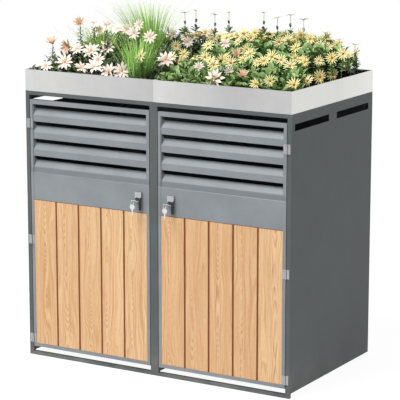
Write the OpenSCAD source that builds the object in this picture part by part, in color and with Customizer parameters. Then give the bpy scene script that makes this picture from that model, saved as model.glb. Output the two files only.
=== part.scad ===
// Store for two wheelie bins: a folded steel cabinet with two louvred doors under a planted roof.
// All sizes are in millimetres. The doors face -Y and +Z is up. The origin is on the ground, in the
// middle of the width and of the depth over the keys.

/* [Store] */
// Width over the two side panels
store_w = 1380; // [1300:10:1600]
// Depth from the door faces to the back
store_d = 780; // [700:10:900]
// Height of the cabinet below the planter trays
frame_h = 1250; // [1200:10:1350]
// Thickness of the folded steel sheet of the cabinet
sheet_t = 1.5; // [1:0.25:2]

/* [Cabinet frame] */
// Face width of an outer post, and the depth that a side or back panel is folded to
post_w = 20; // [18:1:30]
// Face width of the centre post and of the wall behind it
centre_w = 40; // [36:1:60]
// Depth of the posts
post_d = 15; // [12:1:18]
// Height of the front sills
sill_h = 16; // [12:1:22]
// Depth of the front sills
sill_d = 20; // [16:1:24]
// Height of the rails over the doors
head_h = 18; // [14:1:24]
// Gap between the ground and the panels
panel_lift = 20; // [16:1:30]
// Distance that the rear sill stays back from each side
rear_sill_inset = 35; // [32:1:80]
// Width of the lips round the open side of a folded panel
lip_w = 15; // [13:1:18]
// Width of the strip that the closing edge of a door meets
stop_w = 14; // [10:1:16]
// Thickness of that strip
stop_t = 4; // [3:0.5:5]
// Clearance between a closed door and its stop strip
stop_gap = 1; // [0.5:0.25:1.5]
// Distance of the outer bolts of a back panel from its upper and lower edges
bolt_inset = 120; // [60:5:240]
// Distance between a bay's side and the middle of the nearest bearer
bearer_inset = 195; // [80:5:240]

/* [Side vents] */
// Length of a vent slot
vent_l = 318; // [200:2:330]
// Height of a vent slot
vent_h = 30; // [20:1:40]
// Distance from the cabinet's top to the slots
vent_drop = 45; // [35:1:80]
// Distance from the front to the first slot
vent_start = 28; // [20:1:34]
// Distance between the two slots
vent_gap = 74; // [60:1:90]

/* [Doors] */
// Depth of a door
door_d = 25; // [24:0.5:28]
// Gap beside a closed door
side_gap = 3; // [2.5:0.25:4]
// Gap between a door and the rail above it
top_gap = 22; // [10:1:30]
// Gap between a door and the sill below it
bottom_gap = 26; // [10:1:30]
// Visible width of a door frame's sides
stile_w = 14; // [13:0.5:18]
// Visible height of a door frame's top
top_rail_h = 20; // [16:1:26]
// Visible height of a door frame's bottom
bottom_rail_h = 17; // [14:1:22]
// Thickness of the door sheets
door_t = 1.2; // [1:0.1:1.4]
// Depth of the panel edges held behind the door frame
tongue = 3; // [2:0.5:3.5]
// Height of the two rails across the back of a door
back_rail_h = 25; // [20:1:30]

/* [Pressed louvres] */
// Number of louvres in a door
louvre_n = 4; // [2:1:4]
// Distance from one louvre to the next
louvre_pitch = 80; // [76:1:84]
// Height of the pocket pressed in above each flat band
pocket_h = 50; // [44:1:54]
// Height from a blade's foot to its upper edge
blade_rise = 30; // [24:1:34]
// Depth of a blade's upper edge behind the bands
blade_d = 18; // [12:1:19]
// Radius of the pocket's rounded ends
pocket_r = 8; // [4:1:11]
// Distance between a pocket's ends and the door frame
pocket_margin = 3; // [1:0.5:12]
// Step between the louvre field and the flat lock panel
field_step = 1.5; // [1:0.25:2]
// Height of the flat lock panel
lock_panel_h = 125; // [115:1:140]

/* [Wood panels] */
// Number of planks in a door
plank_n = 5; // [3:1:7]
// Width of a groove between planks
groove_w = 8; // [5:0.5:10]
// Depth of a groove
groove_d = 4; // [3:0.25:5]
// Bevel on a plank's long edges
plank_bevel = 2; // [1:0.25:2.5]
// Thickness of the panel
wood_t = 9.5; // [8:0.5:10]
// Shadow gap between the wood and the lock panel
wood_gap = 2; // [1:0.25:4]

/* [Hinges] */
// Height of a hinge
hinge_h = 42; // [36:3:48]
// Height of the lowest hinge's middle above the door's lower edge
low_hinge_z = 40; // [30:1:60]
// Height of the middle hinge's middle above the door's lower edge
middle_hinge_z = 513; // [400:1:600]
// Distance of the upper hinge's middle below the door's upper edge
high_hinge_drop = 110; // [60:1:160]
// Width of one leaf from the pin's axis
leaf_w = 17; // [14:0.5:17]
// Thickness of a leaf
leaf_t = 1.5; // [1:0.25:2]
// Outer radius of a knuckle, and the distance of the pin's axis from the door face
knuckle_r = 3.5; // [3.25:0.25:4]
// Radius of a pin
pin_r = 2; // [1.5:0.1:2.2]
// Radial clearance of a pin in its knuckles
pin_fit = 0.05; // [0.02:0.01:0.1]
// Gap between two knuckles
knuckle_gap = 0.3; // [0.2:0.1:0.6]
// Distance from the pin's axis to the screws
hinge_screw_x = 8.5; // [8:0.25:9.5]
// Distance from a leaf's middle to its two screws
hinge_screw_z = 13; // [10:0.5:15]
// Radius of a hinge screw's shank
screw_r = 1.9; // [1.5:0.1:2]

/* [Locks] */
// Distance of a lock from the centre plane
lock_x = 85; // [82:1:95]
// Height of a lock's axis above the lower edge of the lock panel
lock_rise = 61; // [52:1:70]
// Width of the escutcheon
escutcheon_w = 34; // [30:1:40]
// Height of the escutcheon above the lock's axis
escutcheon_h = 34; // [28:1:38]
// Distance between the escutcheon's middle and the lock's axis
escutcheon_shift = 7; // [4:1:8]
// Thickness of the escutcheon
escutcheon_t = 10; // [8:0.5:12]
// Radius of the threaded lock body
body_r = 9.5; // [9:0.25:11]
// Radius of the turning plug
plug_r = 6; // [5.5:0.25:6.5]
// Radial clearance of the plug in the lock body
plug_fit = 0.05; // [0.02:0.01:0.1]
// Length of the cranked lever below the lock's axis
lever_l = 50; // [40:1:54]
// Distance of the lever's hanging part from the lock's axis
lever_x = 19; // [16:1:22]
// Width of the lever
lever_w = 12; // [9:0.5:13]
// Length of the cam from the lock's axis
cam_l = 57; // [54:1:58]
// Width of the cam
cam_w = 16; // [14:1:20]
// Thickness of the cam
cam_t = 2.5; // [2:0.25:3]
// Clearance between the turned cam and the stop strip
cam_gap = 1; // [0.5:0.25:1.5]

/* [Keys] */
// Radius of a key's bow
bow_r = 13; // [11:0.5:15]
// Thickness of a key
key_t = 2; // [1.6:0.1:2.2]
// Width of a key's blade
blade_w = 7.5; // [6:0.25:8]
// Length of a key's blade
key_l = 26; // [22:1:30]
// Radius of the key ring to the middle of its wire
ring_r = 11; // [10:0.5:13]
// Radius of the key ring's wire
wire_r = 0.9; // [0.8:0.05:1]

/* [Planter trays] */
// Height of a planter tray
tray_h = 98; // [80:1:140]
// Width of the folded bead at each end of a tray's front
bead_w = 20; // [12:1:26]
// Depth of that bead
bead_d = 2; // [1:0.25:3]
// Width of the hem along a tray's rim
hem_w = 4; // [3:0.5:6]
// Height of the hem
hem_h = 3; // [2:0.5:5]
// Distance of the soil below the rim
soil_drop = 32; // [20:1:45]
// Width of a bearer under a tray
bearer_w = 40; // [30:1:60]
// Height of a bearer
bearer_h = 25; // [20:1:30]
// Distance of a drain from the back
drain_back = 80; // [60:5:150]
// Radius of a drain spout
spout_r = 10; // [8:1:12]
// Length of a drain spout below the tray
spout_l = 25; // [20:1:28]

/* [Plants] */
// Height of the foliage at a tray's front
foliage_front_h = 62; // [50:1:80]
// Height of the foliage at a tray's back
foliage_back_h = 175; // [140:5:185]
// Number of steps across the foliage
foliage_steps = 30; // [26:1:32]
// Number of places tried for pink daisies: those beside the grass stay empty
pink_n = 26; // [8:1:28]
// Radius of a pink daisy
pink_r = 34; // [26:1:36]
// Number of yellow daisies
yellow_n = 34; // [16:1:36]
// Radius of a yellow daisy
yellow_r = 26; // [20:1:28]
// Number of blades in a clump of grass
grass_n = 54; // [24:1:60]
// Height of the front grass above the soil
grass_h = 215; // [190:5:240]
// Distance of the front grass from the left end of its tray
grass_x = 560; // [540:5:580]
// Distance of the front grass from the front
grass_y = 105; // [100:1:150]
// Height of the tall rear grass above the soil
rear_grass_h = 320; // [290:5:340]
// Distance of the rear grass from the left end of its tray
rear_grass_x = 390; // [380:5:420]
// Distance of the rear grass from the front
rear_grass_y = 450; // [400:5:500]
// Height of the short grass above the soil
short_grass_h = 185; // [160:5:210]
// Distance of the short grass from the left end of its tray
short_grass_x = 190; // [140:5:200]
// Distance of the short grass from the front
short_grass_y = 350; // [300:5:400]
// Radius of the clearing in the foliage round each clump of grass
clearing_r = 62; // [58:1:66]
// Number of bud stems
bud_n = 8; // [4:1:9]
// Height of the bud stems above the foliage
bud_h = 115; // [90:5:125]

/* [Hidden] */
$fn = 48;

// Signs of the two bays: x runs from the centre plane towards the named side
left = -1;
right = 1;
// Overshoot of a cut past the face that it opens
cut = 1;
// Gap between soft or loosely fitted pieces
soft_gap = 0.3;
// Radial clearances between pieces fixed on each other, and round bolts and screws in their holes
fixed_fit = 0.05;
hole_play = 0.2;

// Bay between the centre wall and a side panel, measured from the centre plane
bay_x = centre_w / 2;
wall_x = store_w / 2 - post_w;
bay_w = wall_x - bay_x;
panel_h = frame_h - panel_lift;

// Door outline
door_x = bay_x + side_gap;
door_w = bay_w - 2 * side_gap;
door_z = sill_h + bottom_gap;
door_h = frame_h - head_h - top_gap - door_z;
window_w = door_w - 2 * stile_w;
front_y = sheet_t;

// Levels inside a door, above its lower edge
field_top = door_h - top_rail_h;
field_z = field_top - louvre_n * louvre_pitch;
lock_panel_z = field_z - lock_panel_h;
lock_z = lock_panel_z + lock_rise;
wood_top = lock_panel_z - wood_gap;
field_y = front_y + field_step;
rail_y = wood_t;
rail_d = door_d - sheet_t - rail_y;

// Pin axis of the hinges, in front of the gap between post and door
pin_x = wall_x - side_gap / 2;
pin_y = -knuckle_r;
hinge_levels = [door_z + low_hinge_z, door_z + middle_hinge_z, door_z + door_h - high_hinge_drop];

// Places along a lock's axis: the lever on the plug, the cam and the key's bow
lever_t = 3;
plug_face_y = front_y - escutcheon_t - lever_t - 2 * soft_gap;
cam_y = door_d + stop_gap + stop_t + cam_gap;
key_shoulder = 3;
bow_y = plug_face_y - key_shoulder - bow_r;
bow_rim = 2;
bow_hole_r = 2.8;
bow_hole_y = bow_y - bow_r + bow_rim + bow_hole_r;
ring_drop = ring_r * sin(45);
ring_y = bow_hole_y - ring_drop;
ring_z = door_z + lock_z - ring_drop;
ring_play = 0.7;
spare_hole_r = wire_r + ring_play;
spare_z = ring_z - ring_r;

// Face of the posts and doors: the origin is half-way between the key rings and the back
key_reach = ring_r + wire_r - ring_y;
front = -(store_d - key_reach) / 2;

// Tray levels and the ground that the plants grow from
tray_w = store_w / 2;
soil_z = frame_h + tray_h - soil_drop;
plant_inset = 8;

anthracite = [0.25, 0.27, 0.28];
door_grey = [0.53, 0.57, 0.60];
oak = [0.85, 0.64, 0.42];
steel = [0.78, 0.78, 0.78];
chrome = [0.62, 0.63, 0.65];
earth = [0.16, 0.11, 0.08];
leaf_green = [0.30, 0.48, 0.22];
grass_green = [0.45, 0.68, 0.20];

// Places children in the bay on one side, with x from the centre plane outwards and y from the front
module on_side(side) {
    translate([0, front, 0]) mirror([side < 0 ? 1 : 0, 0, 0]) children();
}

// Places children in a tray, with x from its left end and y from the front, on the tray's underside
module on_tray(side) {
    translate([side < 0 ? -tray_w : 0, front, frame_h]) children();
}

// Turns an extrusion's height into the direction from the front to the back
module backwards() {
    rotate([-90, 0, 0]) children();
}

// Folded channel along x, open below
module channel(length, depth, height) {
    difference() {
        cube([length, depth, height]);
        translate([-cut, sheet_t, -cut])
            cube([length + 2 * cut, depth - 2 * sheet_t, height - sheet_t + cut]);
    }
}

// Folded panel in the x-z plane: its skin lies at y = depth and its open side has lips all round
module pan(width, depth, height) {
    difference() {
        cube([width, depth, height]);
        translate([sheet_t, sheet_t, sheet_t])
            cube([width - 2 * sheet_t, depth - 2 * sheet_t, height - 2 * sheet_t]);
        translate([lip_w, -cut, lip_w])
            cube([width - 2 * lip_w, sheet_t + 2 * cut, height - 2 * lip_w]);
    }
}

// Holes for the bolts that join a back panel to the walls on either side of it
bolt_r = 3;
bolt_levels = [panel_lift + bolt_inset, panel_lift + panel_h / 2, frame_h - bolt_inset];
bolt_y = store_d - lip_w / 2;

module bolt_holes(x, length) {
    for (z = bolt_levels)
        translate([x, bolt_y, z]) rotate([0, 90, 0]) cylinder(r = bolt_r + hole_play, h = length, center = true);
}

// Side panel with two long vents under its upper edge
module side_panel(side) color(anthracite) on_side(side) {
    difference() {
        translate([wall_x, post_d, panel_lift]) mirror([1, -1, 0])
            pan(store_d - post_d, post_w, panel_h);
        for (i = [0, 1])
            translate([wall_x + post_w / 2, vent_start + i * (vent_l + vent_gap), frame_h - vent_drop - vent_h])
                cube([post_w, vent_l, vent_h]);
        bolt_holes(wall_x, 4 * sheet_t);
    }
}

// Hollow wall between the two bays
module centre_wall() color(anthracite) translate([0, front, 0]) {
    difference() {
        translate([-bay_x, post_d, panel_lift]) cube([centre_w, store_d - post_d, panel_h]);
        translate([sheet_t - bay_x, post_d + sheet_t, panel_lift - cut])
            cube([centre_w - 2 * sheet_t, store_d - post_d - 2 * sheet_t, panel_h - sheet_t + cut]);
        for (x = [-bay_x, bay_x]) bolt_holes(x, 4 * sheet_t);
    }
}

module back_panel(side) color(anthracite) on_side(side) {
    difference() {
        translate([bay_x, store_d - post_w, panel_lift]) pan(bay_w, post_w, panel_h);
        for (x = [bay_x, wall_x]) bolt_holes(x, 4 * sheet_t);
    }
}

// Bolt with its head in the back panel and its nut behind the wall's sheet
module wall_bolt() {
    hex_r = 5.5;
    bolt_head_h = 4;
    nut_h = 5;
    rotate([0, 90, 0]) {
        cylinder(r = bolt_r, h = 2 * sheet_t, center = true);
        translate([0, 0, -sheet_t - bolt_head_h]) cylinder(r = hex_r, h = bolt_head_h, $fn = 6);
        translate([0, 0, sheet_t]) cylinder(r = hex_r, h = nut_h, $fn = 6);
    }
}

module rear_bolts() color(steel) {
    for (side = [left, right], z = bolt_levels) on_side(side) {
        translate([wall_x, bolt_y, z]) wall_bolt();
        translate([bay_x, bolt_y, z]) mirror([1, 0, 0]) wall_bolt();
    }
}

// Square post with a closed foot and holes for the hinge screws
foot_t = 3;

module post(width, height) {
    difference() {
        cube([width, post_d, height]);
        translate([sheet_t, sheet_t, foot_t]) cube([width - 2 * sheet_t, post_d - 2 * sheet_t, height]);
    }
}

module outer_post(side) color(anthracite) on_side(side) {
    difference() {
        translate([wall_x, 0, 0]) post(post_w, frame_h);
        hinge_screw_holes(pin_x + hinge_screw_x);
    }
}

module centre_post() color(anthracite)
    translate([-bay_x, front, 0]) post(centre_w, frame_h);

module sill(side) color(anthracite) on_side(side)
    translate([bay_x, 0, 0]) channel(bay_w, sill_d, sill_h);

module head_rail(side) color(anthracite) on_side(side)
    translate([bay_x, 0, frame_h - head_h]) channel(bay_w, post_d, head_h);

// Sill that carries the back panels, hidden behind the side panels
module rear_sill() color(anthracite) {
    length = store_w - 2 * rear_sill_inset;
    translate([-length / 2, front + store_d - post_w, 0]) channel(length, post_w, panel_lift);
}

// Flat bar welded to the centre wall, that a closed door rests against and the cam turns behind
module door_stop(side) color(anthracite) on_side(side)
    translate([bay_x, door_d + stop_gap, door_z + bottom_rail_h])
        cube([stop_w, stop_t, door_h - bottom_rail_h - top_rail_h]);

// Two bearers under each tray, from the rail over the door to the back panel
bearer_l = store_d - post_w - post_d;

module tray_bearers() color(anthracite) {
    for (side = [left, right], x = [bay_x + bearer_inset, wall_x - bearer_inset]) on_side(side)
        translate([x + bearer_w / 2, post_d, frame_h - bearer_h])
            rotate([0, 0, 90]) channel(bearer_l, bearer_w, bearer_h);
}

// Outline of a tray, with a shallow folded bead at each end of its front
function tray_outline(inset) = [
    [inset, inset], [bead_w / 2, inset + bead_d], [bead_w, inset],
    [tray_w - bead_w, inset], [tray_w - bead_w / 2, inset + bead_d], [tray_w - inset, inset],
    [tray_w - inset, store_d - inset], [inset, store_d - inset]
];

// Place of the drain: at the back, between the bearers
drain_x = tray_w / 2;
drain_y = store_d - drain_back;

module tray(side) color(steel) on_tray(side) {
    difference() {
        linear_extrude(tray_h) polygon(tray_outline(0));
        translate([0, 0, sheet_t]) linear_extrude(tray_h - sheet_t - hem_h) polygon(tray_outline(sheet_t));
        translate([0, 0, tray_h - hem_h - cut]) linear_extrude(hem_h + 2 * cut) polygon(tray_outline(hem_w));
        translate([drain_x, drain_y, -cut]) cylinder(r = spout_r, h = sheet_t + 2 * cut);
    }
}

module drain_spouts() color("dimgray") {
    wall = 2;
    flange = [4, 2];
    for (side = [left, right]) on_tray(side) translate([drain_x, drain_y, 0]) difference() {
        union() {
            translate([0, 0, -spout_l]) cylinder(r = spout_r - fixed_fit, h = spout_l + sheet_t);
            translate([0, 0, -flange[1]]) cylinder(r = spout_r + flange[0], h = flange[1]);
        }
        translate([0, 0, -spout_l - cut]) cylinder(r = spout_r - wall, h = spout_l + sheet_t + 2 * cut);
    }
}

module soil(side) color(earth) on_tray(side)
    translate([0, 0, sheet_t])
        linear_extrude(soil_z - frame_h - sheet_t) polygon(tray_outline(sheet_t + soft_gap));

// Hinges. A leaf has three knuckles' height, and owns the segments listed in owned.
segment_h = hinge_h / 3;

module at_hinges() {
    for (z = hinge_levels) translate([pin_x, pin_y, z - hinge_h / 2]) children();
}

module hinge_screw_holes(x) {
    for (z = hinge_levels, dz = [-hinge_screw_z, hinge_screw_z])
        translate([x, -knuckle_r, z + dz]) backwards() cylinder(r = screw_r + hole_play, h = 2 * knuckle_r);
}

// Leaf along +x from the pin's axis, flat against the face behind it, with room for the other leaf's knuckles
module hinge_leaf(owned) {
    notch = knuckle_r + 0.4;
    trim = knuckle_gap / 2;
    difference() {
        union() {
            translate([0, knuckle_r - leaf_t, 0]) cube([leaf_w, leaf_t, hinge_h]);
            for (i = owned) translate([0, 0, i * segment_h]) cylinder(r = knuckle_r, h = segment_h);
        }
        for (i = [0:2]) if (len([for (own = owned) if (own == i) own]) == 0) {
            low = i * segment_h - (i > 0 ? trim : cut);
            high = (i + 1) * segment_h + (i < 2 ? trim : cut);
            translate([-notch, -notch, low]) cube([2 * notch, 2 * notch, high - low]);
        }
        translate([0, 0, -cut]) cylinder(r = pin_r + pin_fit, h = hinge_h + 2 * cut);
    }
}

module hinge_post_leaves() color(steel) {
    for (side = [left, right]) on_side(side) difference() {
        at_hinges() hinge_leaf([0, 2]);
        hinge_screw_holes(pin_x + hinge_screw_x);
    }
}

module hinge_door_leaves(side) color(steel) on_side(side) {
    difference() {
        at_hinges() mirror([1, 0, 0]) hinge_leaf([1]);
        hinge_screw_holes(pin_x - hinge_screw_x);
    }
}

module hinge_pins() color(chrome) {
    head_h = 1.5;
    for (side = [left, right]) on_side(side) at_hinges() {
        cylinder(r = pin_r, h = hinge_h);
        translate([0, 0, hinge_h]) cylinder(r = pin_r + 1, h = head_h);
    }
}

// Pan-head screw through a leaf into the sheet behind it
module hinge_screw() {
    head_h = 1.6;
    head_r = [2.4, 3.2];
    shank_l = leaf_t + sheet_t + 2;
    backwards() {
        translate([0, 0, -head_h]) cylinder(r1 = head_r[0], r2 = head_r[1], h = head_h);
        cylinder(r = screw_r, h = shank_l);
    }
}

module hinge_screws(side, x) {
    on_side(side) for (z = hinge_levels, dz = [-hinge_screw_z, hinge_screw_z])
        translate([x, -leaf_t, z + dz]) hinge_screw();
}

module hinge_post_screws() color(steel) {
    for (side = [left, right]) hinge_screws(side, pin_x + hinge_screw_x);
}

// Places children on a door, with x from its closing edge and z from its lower edge
module on_door(side) {
    on_side(side) translate([door_x, 0, door_z]) children();
}

// Frame folded to a channel that is open towards the window
module door_frame(side) color(door_grey) {
    difference() {
        on_door(side) difference() {
            cube([door_w, door_d, door_h]);
            translate([stile_w, -cut, bottom_rail_h])
                cube([window_w, door_d + 2 * cut, door_h - bottom_rail_h - top_rail_h]);
            translate([sheet_t, sheet_t, sheet_t])
                cube([door_w - 2 * sheet_t, door_d - 2 * sheet_t, door_h - 2 * sheet_t]);
        }
        on_side(side) hinge_screw_holes(pin_x - hinge_screw_x);
    }
}

// Side view of a louvre's blade, thickened by e behind and below, with y to the back and z up.
// It runs from the foot of the blade up to its inner edge, and the pocket stays open from there
// to the lower edge of the band above.
blade_slant = sqrt(blade_d * blade_d + blade_rise * blade_rise);

function louvre_profile(e) = let (s = 1 + e * blade_slant / (blade_d * pocket_h)) [
    [0, -e * blade_slant / blade_d], [s * blade_d, pocket_h + s * (blade_rise - pocket_h)], [0, pocket_h]
];

function pocket_profile() = [
    [-cut - door_t, 0], [0, 0], [blade_d, blade_rise], [blade_d, pocket_h - 2 * door_t],
    [2 * door_t, pocket_h], [-cut - door_t, pocket_h]
];

// Plan of a pocket from above: straight at the front, with two rounded corners at the back
module pocket_plan(length, depth, r) {
    front = -2 * cut - door_t;
    translate([r, front]) square([length - 2 * r, depth - front]);
    translate([0, front]) square([length, depth - front - r]);
    for (x = [r, length - r]) translate([x, depth - r]) circle(r);
}

// Block with the given side view, cut to the pocket's plan, along x
module louvre_block(profile, length, depth, r) {
    intersection() {
        rotate([90, 0, 90]) linear_extrude(length) polygon(profile);
        translate([0, 0, -pocket_h]) linear_extrude(3 * pocket_h) pocket_plan(length, depth, r);
    }
}

pocket_l = window_w - 2 * pocket_margin;

// Sheet with four louvres pressed in, a small step, and the flat lock panel with its folded edge
module louvre_panel(side) color(door_grey) on_door(side) {
    panel_w = window_w + 2 * tongue;
    panel_x = stile_w - tongue;
    field_h = field_top - field_z + tongue;
    fold_d = rail_y - front_y - soft_gap;
    difference() {
        union() {
            translate([panel_x, field_y, field_z]) cube([panel_w, door_t, field_h]);
            translate([panel_x, front_y, field_z - door_t]) cube([panel_w, field_step + door_t, door_t]);
            translate([panel_x, front_y, lock_panel_z]) cube([panel_w, door_t, lock_panel_h]);
            translate([stile_w, front_y, lock_panel_z]) cube([window_w, fold_d, door_t]);
            for (i = [0:louvre_n - 1])
                translate([stile_w + pocket_margin - door_t, field_y, field_top - pocket_h - i * louvre_pitch])
                    louvre_block(louvre_profile(door_t), pocket_l + 2 * door_t, blade_d + door_t,
                                 pocket_r + door_t);
        }
        for (i = [0:louvre_n - 1])
            translate([stile_w + pocket_margin, field_y, field_top - pocket_h - i * louvre_pitch])
                louvre_block(pocket_profile(), pocket_l, blade_d, pocket_r);
        translate([lock_x - door_x, 0, lock_z]) backwards() cylinder(r = body_r + hole_play, h = door_d);
    }
}

// Panel milled into planks, with bevelled edges, held behind the door frame by its rebated sides
module wood_section() {
    plank_pitch = window_w / plank_n;
    difference() {
        translate([-tongue, 0]) square([window_w + 2 * tongue, wood_t]);
        for (i = [1:plank_n - 1]) translate([i * plank_pitch, 0]) polygon([
            [-groove_w / 2 - plank_bevel, -cut], [-groove_w / 2, plank_bevel], [-groove_w / 2, groove_d],
            [groove_w / 2, groove_d], [groove_w / 2, plank_bevel], [groove_w / 2 + plank_bevel, -cut]
        ]);
        for (m = [0, 1]) translate([m * window_w, 0]) mirror([m, 0]) polygon([
            [-tongue - cut, -cut], [2 * plank_bevel, -cut], [soft_gap, front_y], [-tongue - cut, front_y]
        ]);
    }
}

module wood_panel(side) color(oak) on_door(side) translate([stile_w, 0, 0]) difference() {
    translate([0, 0, bottom_rail_h - tongue])
        linear_extrude(wood_top - bottom_rail_h + tongue) wood_section();
    translate([-tongue - cut, -cut, bottom_rail_h - tongue - cut])
        cube([window_w + 2 * tongue + 2 * cut, front_y + cut, tongue + cut + soft_gap]);
}

// Two tubes across the back of a door: one behind the joint of its panels, one half-way down the wood
back_rail_levels = [lock_panel_z - back_rail_h / 2, (lock_panel_z + bottom_rail_h) / 2 - back_rail_h / 2];

module door_rails(side) color(door_grey) on_door(side) {
    for (z = back_rail_levels) translate([sheet_t, rail_y, z]) difference() {
        cube([door_w - 2 * sheet_t, rail_d, back_rail_h]);
        translate([-cut, sheet_t, sheet_t])
            cube([door_w, rail_d - 2 * sheet_t, back_rail_h - 2 * sheet_t]);
    }
}

// Places children on a lock's axis, with y from the cabinet's front
module on_lock(side) {
    on_side(side) translate([lock_x, 0, door_z + lock_z]) children();
}

// Radius of the plug's end that the cam sits on
cam_seat_r = 4;

// Points x to the right as seen from the front, because both doors have the same lock
module as_fitted(side) {
    mirror([side < 0 ? 1 : 0, 0, 0]) children();
}

// Escutcheon on the door's face, narrowing to a boss round the plug, and the threaded body behind it
module lock_body(side) color(chrome) on_lock(side) {
    boss_r = body_r + 2.5;
    corner_z = 12;
    body_l = door_d - front_y - 1;
    left_x = escutcheon_shift - escutcheon_w / 2;
    right_x = escutcheon_shift + escutcheon_w / 2;
    difference() {
        union() {
            as_fitted(side) translate([0, front_y, 0]) rotate([90, 0, 0]) linear_extrude(escutcheon_t) {
                circle(boss_r);
                polygon([
                    [left_x, escutcheon_h], [left_x, 0], [boss_r, 0], [right_x, corner_z], [right_x, escutcheon_h]
                ]);
            }
            translate([0, front_y, 0]) backwards() cylinder(r = body_r, h = body_l);
        }
        translate([0, -2 * escutcheon_t, 0]) backwards() cylinder(r = plug_r + plug_fit, h = 3 * door_d);
    }
}

module lock_nut(side) color(chrome) on_lock(side) {
    nut_h = 6;
    translate([0, front_y + door_t, 0]) backwards() difference() {
        cylinder(r = body_r + 5, h = nut_h, $fn = 6);
        translate([0, 0, -cut]) cylinder(r = body_r + fixed_fit, h = nut_h + 2 * cut);
    }
}

// Turning plug with its keyway, and the cranked lever on its face
module lock_plug(side) color([0.20, 0.20, 0.21]) on_lock(side) {
    hub_r = 8;
    key_play = 0.5;
    keyway = [blade_w + key_play, key_l + 2 * key_play, key_t + key_play];
    difference() {
        translate([0, plug_face_y, 0]) {
            backwards() cylinder(r = hub_r, h = lever_t);
            backwards() cylinder(r = plug_r, h = cam_y - plug_face_y - fixed_fit);
            backwards() cylinder(r = cam_seat_r, h = cam_y - plug_face_y + cam_t);
            as_fitted(side) translate([0, lever_t, 0]) rotate([90, 0, 0]) linear_extrude(lever_t) {
                translate([0, -lever_w / 2]) square([lever_x, lever_w]);
                translate([lever_x, 0]) circle(lever_w / 2);
                translate([lever_x - lever_w / 2, lever_w / 2 - lever_l]) square([lever_w, lever_l - lever_w / 2]);
                translate([lever_x, lever_w / 2 - lever_l]) circle(lever_w / 2);
            }
        }
        translate([-keyway[0] / 2, plug_face_y - cut, -keyway[2] / 2])
            cube([keyway[0], keyway[1] + cut, keyway[2]]);
    }
}

// Cam on the plug's end: it hangs down when unlocked and turns behind the door's stop
module lock_cam(side) color(chrome) on_lock(side) translate([0, cam_y, 0]) backwards() {
    nut_h = 3;
    nut_r = 7;
    chamfer = 2;
    difference() {
        union() {
            cylinder(r = cam_w / 2, h = cam_t);
            linear_extrude(cam_t) polygon([
                [-cam_w / 2, 0], [cam_w / 2, 0], [cam_w / 2, cam_l - chamfer], [cam_w / 2 - chamfer, cam_l],
                [chamfer - cam_w / 2, cam_l], [-cam_w / 2, cam_l - chamfer]
            ]);
            cylinder(r = nut_r, h = cam_t + nut_h, $fn = 6);
        }
        translate([0, 0, -cut]) cylinder(r = cam_seat_r + fixed_fit, h = cam_t + nut_h + 2 * cut);
    }
}

// Flat key lying in the x-y plane: the bow's middle is at the origin and the blade points to +y
module flat_key(blade_l, hole_r) {
    tip = 2;
    notch = 2;
    notch_pitch = 5;
    linear_extrude(key_t, center = true) difference() {
        union() {
            circle(bow_r);
            polygon([
                [-blade_w / 2, 0], [blade_w / 2, 0], [blade_w / 2, bow_r + blade_l - tip],
                [blade_w / 2 - tip, bow_r + blade_l], [tip - blade_w / 2, bow_r + blade_l],
                [-blade_w / 2, bow_r + blade_l - tip]
            ]);
        }
        translate([0, hole_r + bow_rim - bow_r]) circle(hole_r);
        for (i = [1:3]) translate([blade_w / 2, bow_r + blade_l - i * notch_pitch])
            rotate(45) square(notch, center = true);
    }
}

module inserted_key(side) color(chrome) on_lock(side)
    translate([0, bow_y, 0]) flat_key(key_shoulder + key_l, bow_hole_r);

module key_ring(side) color(chrome) on_side(side)
    translate([lock_x, ring_y, ring_z]) rotate([0, 90, 0])
        rotate_extrude() translate([ring_r, 0]) circle(wire_r, $fn = 24);

// Spare key hanging from the lowest point of the ring, with its bow to the front
module spare_key(side) color(steel) on_side(side)
    translate([lock_x, ring_y, spare_z - (bow_r - spare_hole_r - bow_rim)])
        rotate([-90, 0, 0]) flat_key(key_l, spare_hole_r);

// Plants. A tray's foliage is one lumpy mound on the soil, on a grid of steps.
foliage_w = tray_w - 2 * plant_inset;
foliage_d = store_d - 2 * plant_inset;

// Clumps of grass stand in clearings of the left tray's foliage
grass_spots = [[grass_x, grass_y], [rear_grass_x, rear_grass_y], [short_grass_x, short_grass_y]];

// Shares of the foliage's height that are left at a tray's ends and at its front and back
end_share = 0.75;
edge_share = 0.6;
// The left foliage is a little lower than the right one, which sinks towards its far rear corner
left_share = 0.9;
corner_loss = 0.55;
corner_start = [0.72, 0.6];
// Broad swellings, and hummocks made by the single plants, as shares of the height
swell = 0.10;
hummock = 0.08;

// Falls from 1 in the middle to least at both ends of the unit interval
function shoulder(t, least) = least + (1 - least) * (1 - pow(abs(2 * t - 1), 5));

// Rises from 0 at start to 1 at the end of the unit interval
function ramp(t, start) = max(0, t - start) / (1 - start);

// Height of the foliage above the soil at fractions u across and v back
function foliage_h(side, u, v) =
    (foliage_front_h + (foliage_back_h - foliage_front_h) * pow(sin(90 * v), 1.2))
    * shoulder(u, end_share) * shoulder(v, edge_share)
    * (side < 0 ? left_share : 1 - corner_loss * ramp(u, corner_start[0]) * ramp(v, corner_start[1]))
    * (1 + swell * sin(900 * u + 60) * sin(820 * v + 30 * side)
         + hummock * sin(2700 * u + 500 * v) * sin(2500 * v + 300 * u));

function foliage_x(u) = plant_inset + u * foliage_w;
function foliage_y(v) = plant_inset + v * foliage_d;

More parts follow.
